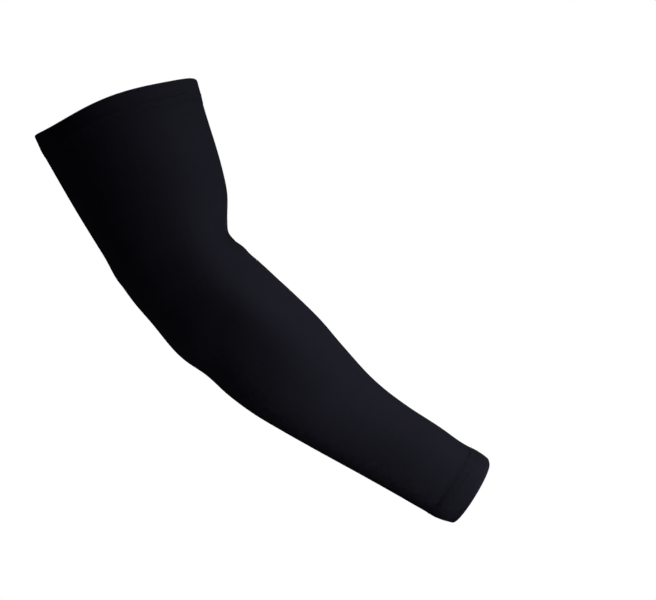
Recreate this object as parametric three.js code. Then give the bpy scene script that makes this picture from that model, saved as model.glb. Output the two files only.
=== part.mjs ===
// Sun protection arm sleeve: a knitted tube that narrows to the wrist, in the bent form of a worn one.
// Each opening ends in a hem that is turned in and doubled. Millimetres, +Z up.
// The origin is the centre of the upper opening. The sleeve bends in the XZ plane, and +X is the side
// of the elbow's crease, its front. Its outer side faces -Y and its inner side faces +Y.

import * as THREE from "three";
import { ParametricGeometry } from "three/addons/geometries/ParametricGeometry.js";

// Sizes of the sleeve
const SLEEVE_LENGTH = 400; // along its middle line
const CLOTH = 1; // one layer of the knit
const UPPER_HEM = 20; // depth of the hem at the upper opening
const WRIST_HEM = 22; // depth of the hem at the wrist
const HEM_SLOPE = 8; // length over which a hem grows from one layer to two
const HEM_RISE = 0.5; // how far the second layer lifts the outer face; the rest of it lies inwards
const SEAM = 0.3; // open line between a hem and the tube

// Pose: lean of the upper stretch from the vertical and bend of the elbow, in degrees, and the bend's place
const UPPER_LEAN = 22;
const ELBOW_BEND = 33;
const BEND_START = 124;
const BEND_RADIUS = 88.5;

// How far the cloth's outer face stands from the middle line on each side, at places along it
const SIDES = ["front", "back", "outer", "inner"];
const SECTIONS = [
  { along: 0, front: 62.3, back: 63.3, outer: 53.4, inner: 52.4 },
  { along: 12, front: 60.9, back: 62.7, outer: 53.2, inner: 52.2 },
  { along: 24, front: 59.6, back: 61.2, outer: 52.8, inner: 51.7 },
  { along: 60, front: 56.5, back: 56.1, outer: 50.5, inner: 49 },
  { along: 86, front: 53.2, back: 51.8, outer: 48, inner: 46.5 },
  { along: 100, front: 51.5, back: 49.4, outer: 46.5, inner: 45 },
  { along: 118, front: 50.4, back: 47.2, outer: 44.5, inner: 43.5 },
  { along: 130, front: 49.6, back: 43.6, outer: 44, inner: 43.5 },
  { along: 148, front: 48.8, back: 39.8, outer: 44, inner: 44 },
  { along: 172, front: 49.2, back: 42, outer: 45, inner: 43.5 },
  { along: 190, front: 47, back: 41.8, outer: 46, inner: 43 },
  { along: 212, front: 44, back: 44.5, outer: 45.5, inner: 42 },
  { along: 235, front: 40.1, back: 45.1, outer: 44, inner: 40 },
  { along: 260, front: 33.7, back: 43.3, outer: 40, inner: 37 },
  { along: 290, front: 27.3, back: 40.4, outer: 33.5, inner: 33 },
  { along: 325, front: 25.3, back: 36.6, outer: 29.3, inner: 29.5 },
  { along: 355, front: 25.7, back: 33.6, outer: 27.5, inner: 27.5 },
  { along: 372, front: 25.5, back: 32.1, outer: 26.2, inner: 26.5 },
  { along: 386, front: 26.6, back: 30.6, outer: 25.4, inner: 25.8 },
  { along: 393, front: 26.7, back: 29.1, outer: 24.9, inner: 25.3 },
  { along: 396, front: 26.1, back: 28.1, outer: 24.7, inner: 25.1 },
  { along: 400, front: 22.3, back: 26.6, outer: 24.2, inner: 24.6 },
];

// Relief of the worn form, each at some degrees round from the front towards the outer side: its height,
// its length along the sleeve and its reach round it in degrees. A negative height is pressed in.
const RELIEF = [
  { along: 64, round: 68, height: 3, length: 56, reach: 30 }, // long ridge above the elbow
  { along: 68, round: 46, height: 1.5, length: 20, reach: 24 }, // swell above the elbow
  { along: 120, round: 65, height: 3.4, length: 43, reach: 26 }, // ridge beside the elbow
  { along: 194, round: 70, height: 5, length: 68, reach: 23 }, // swell below the elbow
  { along: 312, round: 48, height: -3, length: 26, reach: 45 }, // hollow above the wrist
  { along: 114, round: 0, height: -7.5, length: 18, reach: 45 }, // bend of the elbow
  { along: 116, round: 0, height: -1.2, length: 5.5, reach: 45 }, // crease in the bend
  { along: 103, round: 29, height: -0.9, length: 6, reach: 14 }, // dent above the crease
];

// Lie of each opening's edge: how much further along the sleeve it is at the front, how much further
// halfway to the sides, how much of that is skewed, and how far along the sleeve the cloth follows it
const EDGES = [
  { along: 0, slant: 2.9, wave: 2, skew: -1.3, follows: 60 },
  { along: SLEEVE_LENGTH, slant: -1.2, wave: 0, skew: 0, follows: 40 },
];

// Fineness of the surfaces: facets round the sleeve, steps round a hem's rim, places of the rows on a hem's
// flat stretch, and the rows of the tube, which are closest at the elbow
const AROUND = 40;
const RIM_STEPS = 6;
const HEM_FLAT_ROWS = [1 / 3, 2 / 3];
const TUBE_START = UPPER_HEM + SEAM / 2;
const TUBE_END = SLEEVE_LENGTH - WRIST_HEM - SEAM / 2;
const STRETCHES = [
  { until: 92, step: 12 },
  { until: 134, step: 3 },
  { until: TUBE_END, step: 10 },
];

const CLOTH_COLOR = 0x1b1a20;
const HEM_COLOR = 0x18171d;

const lean = THREE.MathUtils.degToRad(UPPER_LEAN);
const bend = THREE.MathUtils.degToRad(ELBOW_BEND);

const sectionAt = new THREE.CubicInterpolant(
  SECTIONS.map((section) => section.along),
  SECTIONS.flatMap((section) => SIDES.map((side) => section[side])),
  SIDES.length,
);

function bell(distance, width) {
  return Math.exp(-((distance / width) ** 2));
}

// Middle line of the sleeve: a straight upper stretch, an arc at the elbow and a straight lower stretch.
// The heading is turned from straight down towards +X.
function middleLine(along) {
  const heading = lean + THREE.MathUtils.clamp((along - BEND_START) / BEND_RADIUS, 0, bend);
  const upper = Math.min(along, BEND_START);
  const lower = Math.max(along - BEND_START - BEND_RADIUS * bend, 0);
  const x = upper * Math.sin(lean)
    + BEND_RADIUS * (Math.cos(lean) - Math.cos(heading))
    + lower * Math.sin(heading);
  const z = -upper * Math.cos(lean)
    - BEND_RADIUS * (Math.sin(heading) - Math.sin(lean))
    - lower * Math.cos(heading);
  return { x, z, heading };
}

function reliefAt(along, angle) {
  let height = 0;
  for (const form of RELIEF) {
    const turn = angle - THREE.MathUtils.degToRad(form.round);
    const away = THREE.MathUtils.radToDeg(Math.acos(Math.cos(turn)));
    height += form.height * bell(along - form.along, form.length) * bell(away, form.reach);
  }
  return height;
}

function edgeShift(along, angle) {
  let shift = 0;
  for (const edge of EDGES) {
    const halfway = Math.sin(2 * angle);
    const lie = edge.slant * Math.cos(angle) + edge.wave * halfway ** 2 + edge.skew * halfway;
    shift += lie * bell(along - edge.along, edge.follows);
  }
  return shift;
}

// Point of the cloth: angle 0 is the front, a quarter turn is the outer side, and lift is the height
// over the outer face of a single layer
function clothPoint(along, angle, lift, target) {
  const place = along + edgeShift(along, angle);
  const [front, back, outer, inner] = sectionAt.evaluate(place);
  const { x, z, heading } = middleLine(place);
  const height = lift + reliefAt(place, angle);
  const side = Math.sin(angle) > 0 ? outer : inner;
  const forward = (front - back) / 2 + ((front + back) / 2 + height) * Math.cos(angle);
  const sideways = (side + height) * Math.sin(angle);
  target.set(x + forward * Math.cos(heading), -sideways, z + forward * Math.sin(heading));
}

// Closed wall of cloth through rows of { along, lift } that go down the outer face and back up the inner one
function clothWall(rows) {
  const wall = (u, v, target) => {
    const angle = (2 * Math.PI * (Math.round(u * AROUND) % AROUND)) / AROUND;
    const { along, lift } = rows[Math.round(v * rows.length) % rows.length];
    clothPoint(along, angle, lift, target);
  };
  return new ParametricGeometry(wall, AROUND, rows.length);
}

function tubeRows() {
  const places = [TUBE_START];
  let from = TUBE_START;
  for (const { until, step } of STRETCHES) {
    const count = Math.round((until - from) / step);
    for (let i = 1; i <= count; i += 1) {
      places.push(THREE.MathUtils.lerp(from, until, i / count));
    }
    from = until;
  }
  const outerFace = places.map((along) => ({ along, lift: 0 }));
  const innerFace = places.toReversed().map((along) => ({ along, lift: -CLOTH }));
  return [...outerFace, ...innerFace];
}

// Rows of a hem from its seam over the rounded rim and back inside
function hemRows(seam, edge) {
  const outwards = Math.sign(edge - seam);
  const start = seam + (outwards * SEAM) / 2;
  const doubled = start + outwards * HEM_SLOPE;
  const rim = edge - outwards * CLOTH;
  const flat = HEM_FLAT_ROWS.map((part) => THREE.MathUtils.lerp(doubled, rim, part));
  const rimLift = HEM_RISE - CLOTH;
  const innerLift = rimLift - CLOTH;
  const rows = [
    { along: start, lift: 0 },
    { along: (start + doubled) / 2, lift: HEM_RISE / 2 },
    { along: doubled, lift: HEM_RISE },
    ...flat.map((along) => ({ along, lift: HEM_RISE })),
  ];
  for (let i = 0; i <= RIM_STEPS; i += 1) {
    const turn = (Math.PI * i) / RIM_STEPS;
    rows.push({ along: rim + outwards * CLOTH * Math.sin(turn), lift: rimLift + CLOTH * Math.cos(turn) });
  }
  rows.push(...flat.toReversed().map((along) => ({ along, lift: innerLift })));
  rows.push({ along: doubled, lift: innerLift });
  rows.push({ along: start, lift: -CLOTH });
  return outwards > 0 ? rows : rows.reverse();
}

function piece(name, rows, color) {
  const knit = new THREE.MeshStandardMaterial({ color, roughness: 0.85, metalness: 0 });
  const mesh = new THREE.Mesh(clothWall(rows), knit);
  mesh.name = name;
  return mesh;
}

const sleeve = new THREE.Group();
sleeve.name = "arm_sleeve";
sleeve.add(
  piece("sleeve_body", tubeRows(), CLOTH_COLOR),
  piece("upper_hem", hemRows(UPPER_HEM, 0), HEM_COLOR),
  piece("wrist_hem", hemRows(SLEEVE_LENGTH - WRIST_HEM, SLEEVE_LENGTH), HEM_COLOR),
);

export default sleeve;
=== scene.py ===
"""Finishes the sun protection arm sleeve: fine knit, sewn hems with their thread, light and camera.

The cloth has the same form as the solids. The sleeve, its knit and its sewing are measured in millimetres,
and the meshes, the cut, the room, the lights and the camera in metres.
"""

import math

import bpy
import numpy as np
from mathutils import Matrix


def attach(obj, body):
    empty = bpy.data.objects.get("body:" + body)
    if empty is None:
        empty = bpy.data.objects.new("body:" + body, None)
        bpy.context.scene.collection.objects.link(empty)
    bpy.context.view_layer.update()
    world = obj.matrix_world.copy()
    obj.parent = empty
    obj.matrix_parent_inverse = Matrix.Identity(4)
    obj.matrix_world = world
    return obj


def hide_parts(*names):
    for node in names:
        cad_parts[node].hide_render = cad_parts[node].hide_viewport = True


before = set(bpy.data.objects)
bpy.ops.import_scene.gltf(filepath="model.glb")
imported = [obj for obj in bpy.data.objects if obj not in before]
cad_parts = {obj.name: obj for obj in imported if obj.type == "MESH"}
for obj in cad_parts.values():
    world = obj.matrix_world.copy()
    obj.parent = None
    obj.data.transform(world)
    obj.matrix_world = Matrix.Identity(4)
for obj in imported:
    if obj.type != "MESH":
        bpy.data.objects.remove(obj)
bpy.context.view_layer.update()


def named_rows(columns, *rows):
    return [dict(zip(columns, row)) for row in rows]


MM = 0.001
FULL_TURN = 2 * math.pi

# Sizes of the sleeve
SLEEVE_LENGTH = 400  # along its middle line
CLOTH = 1  # one layer of the knit
UPPER_HEM = 20  # depth of the hem at the upper opening
WRIST_HEM = 22  # depth of the hem at the wrist
HEM_SLOPE = 8  # length over which a hem grows from one layer to two
HEM_RISE = 0.5  # how far the second layer lifts the outer face; the rest of it lies inwards

# Pose: lean of the upper stretch from the vertical, bend of the elbow, and the bend's place
UPPER_LEAN = math.radians(22)
ELBOW_BEND = math.radians(33)
BEND_START = 124
BEND_RADIUS = 88.5

# How far the cloth's outer face stands from the middle line on each side, at places along it
SECTIONS = named_rows(
    ("along", "front", "back", "outer", "inner"),
    (0, 62.3, 63.3, 53.4, 52.4),
    (12, 60.9, 62.7, 53.2, 52.2),
    (24, 59.6, 61.2, 52.8, 51.7),
    (60, 56.5, 56.1, 50.5, 49),
    (86, 53.2, 51.8, 48, 46.5),
    (100, 51.5, 49.4, 46.5, 45),
    (118, 50.4, 47.2, 44.5, 43.5),
    (130, 49.6, 43.6, 44, 43.5),
    (148, 48.8, 39.8, 44, 44),
    (172, 49.2, 42, 45, 43.5),
    (190, 47, 41.8, 46, 43),
    (212, 44, 44.5, 45.5, 42),
    (235, 40.1, 45.1, 44, 40),
    (260, 33.7, 43.3, 40, 37),
    (290, 27.3, 40.4, 33.5, 33),
    (325, 25.3, 36.6, 29.3, 29.5),
    (355, 25.7, 33.6, 27.5, 27.5),
    (372, 25.5, 32.1, 26.2, 26.5),
    (386, 26.6, 30.6, 25.4, 25.8),
    (393, 26.7, 29.1, 24.9, 25.3),
    (396, 26.1, 28.1, 24.7, 25.1),
    (400, 22.3, 26.6, 24.2, 24.6),
)

# Relief of the worn form, each at some degrees round from the front towards the outer side: its height,
# its length along the sleeve and its reach round it in degrees. A negative height is pressed in.
RELIEF = named_rows(
    ("along", "round", "height", "length", "reach"),
    (64, 68, 3, 56, 30),  # long ridge above the elbow
    (68, 46, 1.5, 20, 24),  # swell above the elbow
    (120, 65, 3.4, 43, 26),  # ridge beside the elbow
    (194, 70, 5, 68, 23),  # swell below the elbow
    (312, 48, -3, 26, 45),  # hollow above the wrist
    (114, 0, -7.5, 18, 45),  # bend of the elbow
    (116, 0, -1.2, 5.5, 45),  # crease in the bend
    (103, 29, -0.9, 6, 14),  # dent above the crease
)

# Lie of each opening's edge: how much further along the sleeve it is at the front, how much further
# halfway to the sides, how much of that is skewed, and how far along the sleeve the cloth follows it
EDGES = named_rows(
    ("along", "slant", "wave", "skew", "follows"),
    (0, 2.9, 2, -1.3, 60),
    (SLEEVE_LENGTH, -1.2, 0, 0, 40),
)

# Knit: a wale is a column of loops along the sleeve, and a course is a row of loops round it
WALES_AROUND = 420  # side by side round the sleeve
COURSE = 0.55  # from one course to the next
LOOP_SLANT = 0.9  # courses that a leg of a loop climbs
LOOP_LOW = 0.35  # height of a leg where the next loop covers it, as a share of its full height
LOOP_DEPTH = 0.12  # full height of a leg
LOOP_STRENGTH = 0.5  # how strongly that height shades the cloth
KNIT_MAP = "Knit"

# Sewing: two rows of stitches outside, and a thread inside that swings between them
UPPER_STITCHES = 126  # in a row round the upper hem, about 2.9 mm each
WRIST_STITCHES = 61  # in a row round the wrist hem
STITCH_ROWS = (3.5, 9)  # distance of each row from the hem's seam
STITCH_GAP = 0.22  # share of a stitch's length that stays open between two threads
THREAD_RADIUS = 0.17
STITCH_CROWN = 0.9 * THREAD_RADIUS  # height of a stitch's middle over the bottom of the dip
STITCH_DIVE = 1.6 * THREAD_RADIUS  # how much lower its ends are
STITCH_PRESS = 0.75  # share of the thread's cross-section that is lost at its ends
LOOPER_REACH = 1.1  # how far the thread inside swings past the rows
LOOPER_RADIUS = 0.8 * THREAD_RADIUS
LOOPER_LIFT = 0.4 * THREAD_RADIUS  # how far its middle stands off the inner face
DIP_DEPTH = 0.08  # of the cloth at a needle hole
DIP_WIDTH = 0.9
DIP_SWING = 0.4  # how much the dip swings round its mean along a row, as a share of its depth

# Near black, a little blue, as dyed synthetic yarn
KNIT_DARK = (0.0120, 0.0117, 0.0182)
KNIT_LIGHT = (0.0215, 0.0210, 0.0328)
KNIT_ROUGHNESS = (0.85, 0.98)
KNIT_SPECULAR = 0.03
THREAD_DARK = (0.0100, 0.0096, 0.0148)
THREAD_LIGHT = (0.0170, 0.0162, 0.0246)
THREAD_ROUGHNESS = (0.5, 0.65)
THREAD_SPECULAR = 0.06

# What makes the knit lighter or darker: shares of painted shade on its loops (darker where a leg sinks
# under the next loop, lighter on its raised part), of streaks along the wales and of soft clouds
LOOP_PAINTED_SHADE_SHARE = 0.45
STREAK_SHARE = 0.35
CLOUD_SHARE = 0.2
STREAKS_PER_WALE = 0.4
STREAKS_PER_COURSE = 0.008
CLOUDS_PER_METRE = 38
FLECKS_PER_METRE = 900  # in the thread

# Fineness of the meshes
TUBE_FACETS = 192
TUBE_OUTER_ROWS = 260
TUBE_INNER_ROWS = 130
HEM_OUTER_ROWS = 56
HEM_RIM_ROWS = 14
HEM_INNER_ROWS = 28
STITCH_STEPS = 7
LOOPER_STEPS = 12  # for each stitch
THREAD_SIDES = 6
SHARP_ANGLE = math.radians(50)

# Pale room: height of its floor and half of its width
FLOOR_HEIGHT = -2.0
ROOM = 5.0

# Soft round lights that face the middle of the sleeve: degrees to the right of the camera, degrees up,
# size and power
LIGHTS = named_rows(
    ("name", "azimuth", "elevation", "size", "power"),
    ("key", 64, -20, 0.4, 6.5),
    ("top", -96, 75, 0.5, 7.6),
    ("low_fill", -90, -50, 0.45, 0.85),
    ("back", 180, 0, 0.22, 5.0),
)
LIGHT_TARGET = (0.11, 0.0, -0.15)
LIGHT_DISTANCE = 0.9
AMBIENT = 0.003  # brightness all round

# Camera that looks along +Y, and the width of what it sees in the plane that the sleeve bends in
CAMERA_PLACE = (0.1557, -1.05, -0.1417)
VIEW_WIDTH = 0.4841
SENSOR = 36.0  # millimetres


# Form of the sleeve


def bell(distance, width):
    return np.exp(-((distance / width) ** 2))


def section_at(place, column):
    """Half-width of the sleeve: a smooth curve through the sections, straight past both ends."""
    places = np.array([section["along"] for section in SECTIONS])
    widths = np.array([section[column] for section in SECTIONS])
    steps = np.diff(widths) / np.diff(places)
    slopes = np.concatenate([steps[:1], (steps[:-1] + steps[1:]) / 2, steps[-1:]])
    i = np.clip(np.searchsorted(places, place, side="right") - 1, 0, len(places) - 2)
    span = places[i + 1] - places[i]
    t = (place - places[i]) / span
    inside = np.clip(t, 0, 1)
    start = (1 + 2 * inside) * (1 - inside) ** 2 * widths[i]
    start_slope = inside * (1 - inside) ** 2 * span * slopes[i]
    end = (3 - 2 * inside) * inside**2 * widths[i + 1]
    end_slope = (inside - 1) * inside**2 * span * slopes[i + 1]
    past = (t - inside) * span * np.where(t < 0, slopes[i], slopes[i + 1])
    return start + start_slope + end + end_slope + past


def middle_line(place):
    """Middle line of the sleeve in the XZ plane, and its heading from straight down towards +X."""
    heading = UPPER_LEAN + np.clip((place - BEND_START) / BEND_RADIUS, 0, ELBOW_BEND)
    upper = np.minimum(place, BEND_START)
    lower = np.maximum(place - BEND_START - BEND_RADIUS * ELBOW_BEND, 0)
    lean_sine = math.sin(UPPER_LEAN)
    lean_cosine = math.cos(UPPER_LEAN)
    x = upper * lean_sine + BEND_RADIUS * (lean_cosine - np.cos(heading)) + lower * np.sin(heading)
    z = -upper * lean_cosine - BEND_RADIUS * (np.sin(heading) - lean_sine) - lower * np.cos(heading)
    return x, z, heading


def relief(place, angle):
    height = 0
    for form in RELIEF:
        turn = angle - math.radians(form["round"])
        away = np.degrees(np.arccos(np.clip(np.cos(turn), -1, 1)))
        near = bell(place - form["along"], form["length"]) * bell(away, form["reach"])
        height = height + form["height"] * near
    return height


def edge_shift(along, angle):
    shift = 0
    halfway = np.sin(2 * angle)
    for edge in EDGES:
        lie = edge["slant"] * np.cos(angle) + edge["wave"] * halfway**2 + edge["skew"] * halfway
        shift = shift + lie * bell(along - edge["along"], edge["follows"])
    return shift


def cloth_points(along, angle, lift):
    """Points of the cloth in metres: angle 0 is the front, a quarter turn is the outer side, and lift is
    the height over the outer face of a single layer."""
    place = along + edge_shift(along, angle)
    front = section_at(place, "front")
    back = section_at(place, "back")
    side = np.where(np.sin(angle) > 0, section_at(place, "outer"), section_at(place, "inner"))
    x, z, heading = middle_line(place)
    height = lift + relief(place, angle)
    forward = (front - back) / 2 + ((front + back) / 2 + height) * np.cos(angle)
    sideways = (side + height) * np.sin(angle)
    points = np.stack([x + forward * np.cos(heading), -sideways, z + forward * np.sin(heading)], axis=-1)
    return points * MM


# Cloth, hems and thread


def mesh_object(name, points, faces, material):
    mesh = bpy.data.meshes.new(name)
    mesh.from_pydata(points.reshape(-1, 3), [], faces.tolist())
    mesh.materials.append(material)
    mesh.shade_smooth()
    piece = bpy.data.objects.new(name, mesh)
    bpy.context.scene.collection.objects.link(piece)
    return piece


def quad_corners(rows, columns):
    """Row and column of the four corners of each quad in a grid, which count on past its last ones."""
    row, column = np.meshgrid(np.arange(rows), np.arange(columns), indexing="ij")
    corner_rows = np.stack([row, row, row + 1, row + 1], axis=-1)
    corner_columns = np.stack([column, column + 1, column + 1, column], axis=-1)
    return corner_rows.reshape(-1, 4), corner_columns.reshape(-1, 4)


def cloth_wall(name, along, lift, around, material):
    """Closed wall of cloth through rows that go down the outer face and back up the inner one."""
    rows = len(along)
    angle = np.linspace(0, FULL_TURN, around, endpoint=False)
    points = cloth_points(along[:, None], angle[None, :], lift)
    row, step = quad_corners(rows, around)
    faces = row % rows * around + step % around
    piece = mesh_object(name, points, faces, material)
    wale = step * WALES_AROUND / around
    course = along[row % rows] / COURSE
    knit_map = piece.data.uv_layers.new(name=KNIT_MAP)
    knit_map.data.foreach_set("uv", np.stack([wale, course], axis=-1).ravel())
    piece.data.set_sharp_from_angle(angle=SHARP_ANGLE)
    return piece


def sleeve_cloth(material):
    start = UPPER_HEM
    end = SLEEVE_LENGTH - WRIST_HEM
    outer_face = np.linspace(start, end, TUBE_OUTER_ROWS)
    inner_face = np.linspace(end, start, TUBE_INNER_ROWS)
    along = np.concatenate([outer_face, inner_face])
    lift = np.concatenate([np.zeros_like(outer_face), np.full_like(inner_face, -CLOTH)])
    return cloth_wall("sleeve_cloth", along, lift[:, None], TUBE_FACETS, material)


def unit(vectors):
    return vectors / np.linalg.norm(vectors, axis=-1, keepdims=True)


def thread_tubes(along, angle, lift, radius, closed):
    """Points and faces of tubes round paths that lie on the cloth, one path in each row of the arrays."""
    centre = cloth_points(along, angle, lift)
    outward = unit(cloth_points(along, angle, lift + CLOTH) - centre)
    if closed:
        onward = np.roll(centre, -1, axis=1) - np.roll(centre, 1, axis=1)
    else:
        onward = np.gradient(centre, axis=1)
    across = unit(np.cross(outward, onward))
    turn = np.linspace(0, FULL_TURN, THREAD_SIDES, endpoint=False)[:, None]
    ring = across[:, :, None] * np.cos(turn) + outward[:, :, None] * np.sin(turn)
    points = centre[:, :, None] + ring * (radius * MM)[:, :, None, None]
    tubes, steps = along.shape
    step, side = quad_corners(steps if closed else steps - 1, THREAD_SIDES)
    quads = step % steps * THREAD_SIDES + side % THREAD_SIDES
    if not closed:
        cap = np.array([(0, corner, corner + 1, corner + 2) for corner in range(1, THREAD_SIDES - 2, 2)])
        quads = np.concatenate([quads, cap[:, ::-1], (steps - 1) * THREAD_SIDES + cap])
    first = np.arange(tubes) * steps * THREAD_SIDES
    faces = first[:, None, None] + quads
    return points.reshape(-1, 3), faces.reshape(-1, 4)


def joined(meshes):
    """Points and faces of several meshes as those of one."""
    points = []
    faces = []
    count = 0
    for mesh_points, mesh_faces in meshes:
        points.append(mesh_points)
        faces.append(mesh_faces + count)
        count += len(mesh_points)
    return np.concatenate(points), np.concatenate(faces)


class Hem:
    """A hem by the distance from its seam: it grows to two layers, is sewn, and turns in at a round rim."""

    def __init__(self, seam, edge, stitches, facets_per_stitch):
        self.seam = seam
        self.outwards = math.copysign(1, edge - seam)
        self.depth = abs(edge - seam)
        self.stitches = stitches
        self.facets = stitches * facets_per_stitch

    def along(self, distance):
        return self.seam + self.outwards * distance

    def second_layer(self, distance):
        """Share of the second layer that is there, which grows smoothly from none at the seam."""
        part = np.clip(distance / HEM_SLOPE, 0, 1)
        return part**2 * (3 - 2 * part)

    def outer_face(self, distance):
        return HEM_RISE * self.second_layer(distance)

    def inner_face(self, distance):
        return -CLOTH - (CLOTH - HEM_RISE) * self.second_layer(distance)

    def sewn_face(self, distance, angle):
        """Outer face with a dip along each row of stitches, deepest at the needle holes."""
        needle = 1 - DIP_SWING + DIP_SWING * np.cos(self.stitches * angle)
        dips = 0
        for row in STITCH_ROWS:
            dips = dips + DIP_DEPTH * needle * bell(distance - row, DIP_WIDTH)
        return self.outer_face(distance) - dips

    def cloth(self, name, material):
        angle = np.linspace(0, FULL_TURN, self.facets, endpoint=False)
        rim = self.depth - CLOTH
        outside = np.linspace(0, rim, HEM_OUTER_ROWS)
        turn = np.linspace(0, math.pi, HEM_RIM_ROWS)[1:]
        inside = np.linspace(rim, 0, HEM_INNER_ROWS)[1:]
        lifts = (
            self.sewn_face(outside[:, None], angle),
            HEM_RISE - CLOTH + CLOTH * np.cos(turn)[:, None],
            self.inner_face(inside)[:, None],
        )
        lift = np.concatenate([np.broadcast_to(part, (len(part), self.facets)) for part in lifts])
        along = self.along(np.concatenate([outside, rim + CLOTH * np.sin(turn), inside]))
        if self.outwards < 0:
            along, lift = along[::-1], lift[::-1]
        return cloth_wall(name, along, lift, self.facets, material)

    def stitch_paths(self):
        """Straight stitches on the outer face, arched up from hole to hole: one path for each stitch."""
        t = np.linspace(-1, 1, STITCH_STEPS)
        middle = np.arange(self.stitches)[:, None] + 0.5
        angle = FULL_TURN * (middle + (1 - STITCH_GAP) / 2 * t) / self.stitches
        near_end = np.broadcast_to(t**4, angle.shape)
        arch = STITCH_CROWN - STITCH_DIVE * near_end - DIP_DEPTH
        radius = THREAD_RADIUS * np.sqrt(1 - STITCH_PRESS * near_end)
        for row in STITCH_ROWS:
            yield np.full_like(angle, self.along(row)), angle, self.outer_face(row) + arch, radius

    def looper_path(self):
        """Thread on the inner face that swings between the rows of stitches and a little past them."""
        t = np.linspace(0, self.stitches, self.stitches * LOOPER_STEPS, endpoint=False)[None, :]
        near, far = STITCH_ROWS
        swing = np.sin(math.pi / 2 * np.sin(FULL_TURN * t))
        distance = (near + far) / 2 + ((far - near) / 2 + LOOPER_REACH) * swing
        angle = FULL_TURN * t / self.stitches
        lift = self.inner_face(distance) - LOOPER_LIFT
        return self.along(distance), angle, lift, np.full_like(t, LOOPER_RADIUS)

    def thread(self, name, material):
        tubes = [thread_tubes(*path, closed=False) for path in self.stitch_paths()]
        tubes.append(thread_tubes(*self.looper_path(), closed=True))
        points, faces = joined(tubes)
        return mesh_object(name, points, faces, material)


# Materials


class Nodes:
    """Short way to make and link a material's nodes."""

    def __init__(self, name):
        self.material = bpy.data.materials.new(name)
        self.material.use_nodes = True
        self.tree = self.material.node_tree
        self.shader = self.tree.nodes["Principled BSDF"]

    def link(self, value, socket):
        if isinstance(value, bpy.types.NodeSocket):
            self.tree.links.new(value, socket)
        else:
            socket.default_value = value

    def math(self, operation, *values):
        node = self.tree.nodes.new("ShaderNodeMath")
        node.operation = operation
        for value, socket in zip(values, node.inputs):
            self.link(value, socket)
        return node.outputs[0]

    def uv(self, name):
        node = self.tree.nodes.new("ShaderNodeUVMap")
        node.uv_map = name
        split = self.tree.nodes.new("ShaderNodeSeparateXYZ")
        self.link(node.outputs["UV"], split.inputs[0])
        return split.outputs["X"], split.outputs["Y"]

    def vector(self, x, y):
        node = self.tree.nodes.new("ShaderNodeCombineXYZ")
        self.link(x, node.inputs["X"])
        self.link(y, node.inputs["Y"])
        return node.outputs[0]

    def object_place(self):
        return self.tree.nodes.new("ShaderNodeTexCoord").outputs["Object"]

    def noise(self, vector, scale, detail):
        node = self.tree.nodes.new("ShaderNodeTexNoise")
        self.link(vector, node.inputs["Vector"])
        node.inputs["Scale"].default_value = scale
        node.inputs["Detail"].default_value = detail
        return node.outputs["Fac"]

    def ranged(self, value, low, high):
        node = self.tree.nodes.new("ShaderNodeMapRange")
        self.link(value, node.inputs["Value"])
        node.inputs["To Min"].default_value = low
        node.inputs["To Max"].default_value = high
        return node.outputs["Result"]

    def mix(self, factor, first, second):
        node = self.tree.nodes.new("ShaderNodeMix")
        node.data_type = "RGBA"
        self.link(factor, node.inputs["Factor"])
        node.inputs["A"].default_value = (*first, 1)
        node.inputs["B"].default_value = (*second, 1)
        return node.outputs["Result"]

    def bump(self, height, distance, strength):
        node = self.tree.nodes.new("ShaderNodeBump")
        self.link(height, node.inputs["Height"])
        node.inputs["Distance"].default_value = distance
        node.inputs["Strength"].default_value = strength
        self.link(node.outputs["Normal"], self.shader.inputs["Normal"])


def knit_material():
    """Fine jersey of V-shaped loops with painted shade where the loops sink, and darker and lighter streaks
    along its wales.
    """
    nodes = Nodes("sleeve_knit")
    wale, course = nodes.uv(KNIT_MAP)
    across = nodes.math("MULTIPLY", nodes.math("PINGPONG", wale, 0.5), 2.0)
    leg = nodes.math("SINE", nodes.math("MULTIPLY", across, math.pi))
    climb = nodes.math("MULTIPLY_ADD", across, LOOP_SLANT, course)
    loop = nodes.math("ABSOLUTE", nodes.math("SINE", nodes.math("MULTIPLY", climb, math.pi)))
    height = nodes.math("MULTIPLY", leg, nodes.ranged(loop, LOOP_LOW, 1.0))
    streaks_across = nodes.math("MULTIPLY", wale, STREAKS_PER_WALE)
    streaks_along = nodes.math("MULTIPLY", course, STREAKS_PER_COURSE)
    streak = nodes.noise(nodes.vector(streaks_across, streaks_along), scale=1, detail=3)
    cloud = nodes.noise(nodes.object_place(), CLOUDS_PER_METRE, detail=3)
    # painted shade: the loops' height makes the colour darker where they sink and lighter on their raised
    # legs; the streaks and clouds below are the yarn's own tone
    tone_and_painted_shade = nodes.math("MULTIPLY", height, LOOP_PAINTED_SHADE_SHARE)
    tone_and_painted_shade = nodes.math("MULTIPLY_ADD", streak, STREAK_SHARE, tone_and_painted_shade)
    tone_and_painted_shade = nodes.math("MULTIPLY_ADD", cloud, CLOUD_SHARE, tone_and_painted_shade)
    nodes.link(nodes.mix(tone_and_painted_shade, KNIT_DARK, KNIT_LIGHT), nodes.shader.inputs["Base Color"])
    nodes.link(nodes.ranged(cloud, *KNIT_ROUGHNESS), nodes.shader.inputs["Roughness"])
    nodes.shader.inputs["Specular IOR Level"].default_value = KNIT_SPECULAR
    nodes.bump(height, LOOP_DEPTH * MM, LOOP_STRENGTH)
    return nodes.material


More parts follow.
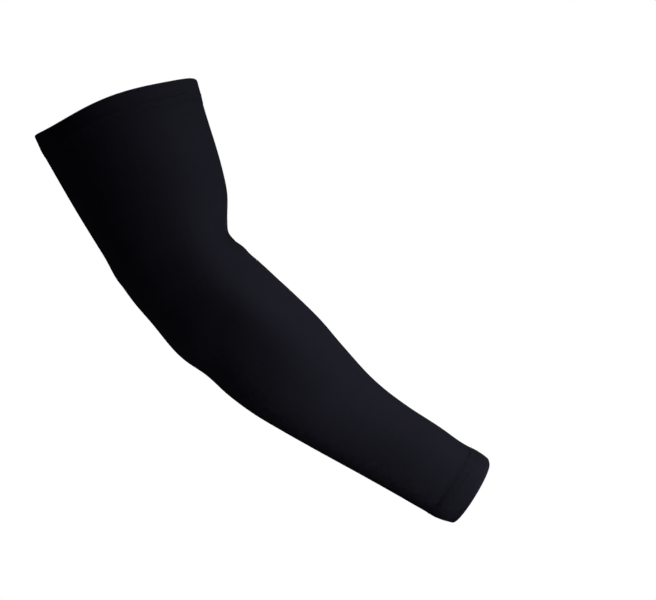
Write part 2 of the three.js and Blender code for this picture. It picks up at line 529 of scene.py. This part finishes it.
def thread_material():
    """Sewing thread with fine flecks, a little smoother than the knit."""
    nodes = Nodes("thread")
    fleck = nodes.noise(nodes.object_place(), FLECKS_PER_METRE, detail=2)
    nodes.link(nodes.mix(fleck, THREAD_DARK, THREAD_LIGHT), nodes.shader.inputs["Base Color"])
    nodes.link(nodes.ranged(fleck, *THREAD_ROUGHNESS), nodes.shader.inputs["Roughness"])
    nodes.shader.inputs["Specular IOR Level"].default_value = THREAD_SPECULAR
    return nodes.material


def white_material():
    material = bpy.data.materials.new("white")
    material.use_nodes = True
    tree = material.node_tree
    glow = tree.nodes.new("ShaderNodeEmission")
    tree.links.new(glow.outputs[0], tree.nodes["Material Output"].inputs["Surface"])
    return material


# Room, lights and camera


def stage_object(name, points, faces, material):
    """Pale surround that the camera sees and that throws no light on the cloth."""
    piece = mesh_object(name, np.array(points), np.array(faces), material)
    piece.visible_diffuse = False
    piece.visible_glossy = False
    piece.visible_shadow = False


def make_stage():
    white = white_material()
    plan = ((-ROOM, -ROOM), (ROOM, -ROOM), (ROOM, ROOM), (-ROOM, ROOM))
    corners = [(x, y, z) for z in (FLOOR_HEIGHT, FLOOR_HEIGHT + 2 * ROOM) for x, y in plan]
    stage_object("floor", corners[:4], [(0, 1, 2, 3)], white)
    walls = [(0, 1, 5, 4), (1, 2, 6, 5), (2, 3, 7, 6), (3, 0, 4, 7)]
    ceiling = (4, 5, 6, 7)
    stage_object("backdrop", corners, [*walls, ceiling], white)


def point_at(thing, target):
    way = np.array(target) - np.array(thing.location)
    flat = math.hypot(way[0], way[1])
    thing.rotation_euler = (math.atan2(flat, -way[2]), 0, math.atan2(-way[0], way[1]))


def make_lights():
    for row in LIGHTS:
        aside = math.radians(row["azimuth"])
        up = math.radians(row["elevation"])
        way = np.array([math.cos(up) * math.sin(aside), -math.cos(up) * math.cos(aside), math.sin(up)])
        lamp = bpy.data.lights.new(row["name"], "AREA")
        lamp.shape = "DISK"
        lamp.size = row["size"]
        lamp.energy = row["power"]
        light = bpy.data.objects.new(row["name"], lamp)
        light.location = LIGHT_TARGET + LIGHT_DISTANCE * way
        light.visible_camera = False
        point_at(light, LIGHT_TARGET)
        bpy.context.scene.collection.objects.link(light)
    world = bpy.data.worlds.new("world")
    world.use_nodes = True
    world.node_tree.nodes["Background"].inputs["Color"].default_value = (AMBIENT, AMBIENT, AMBIENT, 1)
    bpy.context.scene.world = world


def make_camera():
    camera = bpy.data.cameras.new("camera")
    camera.sensor_width = SENSOR
    camera.lens = SENSOR * -CAMERA_PLACE[1] / VIEW_WIDTH
    eye = bpy.data.objects.new("camera", camera)
    eye.location = CAMERA_PLACE
    eye.rotation_euler = (math.pi / 2, 0, 0)
    bpy.context.scene.collection.objects.link(eye)
    bpy.context.scene.camera = eye
    bpy.context.scene.view_settings.view_transform = "Standard"


# The scene and its pieces

make_camera()
make_lights()
make_stage()

knit = knit_material()
thread = thread_material()
upper = Hem(UPPER_HEM, 0, UPPER_STITCHES, facets_per_stitch=3)
wrist = Hem(SLEEVE_LENGTH - WRIST_HEM, SLEEVE_LENGTH, WRIST_STITCHES, facets_per_stitch=4)

body_cloth = sleeve_cloth(knit)
upper_cloth = upper.cloth("upper_hem_cloth", knit)
wrist_cloth = wrist.cloth("wrist_hem_cloth", knit)
upper_thread = upper.thread("upper_hem_thread", thread)
wrist_thread = wrist.thread("wrist_hem_thread", thread)
sewn_pieces = [upper_cloth, wrist_cloth, upper_thread, wrist_thread]

for piece in (body_cloth, *sewn_pieces):
    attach(piece, "root")
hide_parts("sleeve_body")
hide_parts("upper_hem")
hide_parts("wrist_hem")
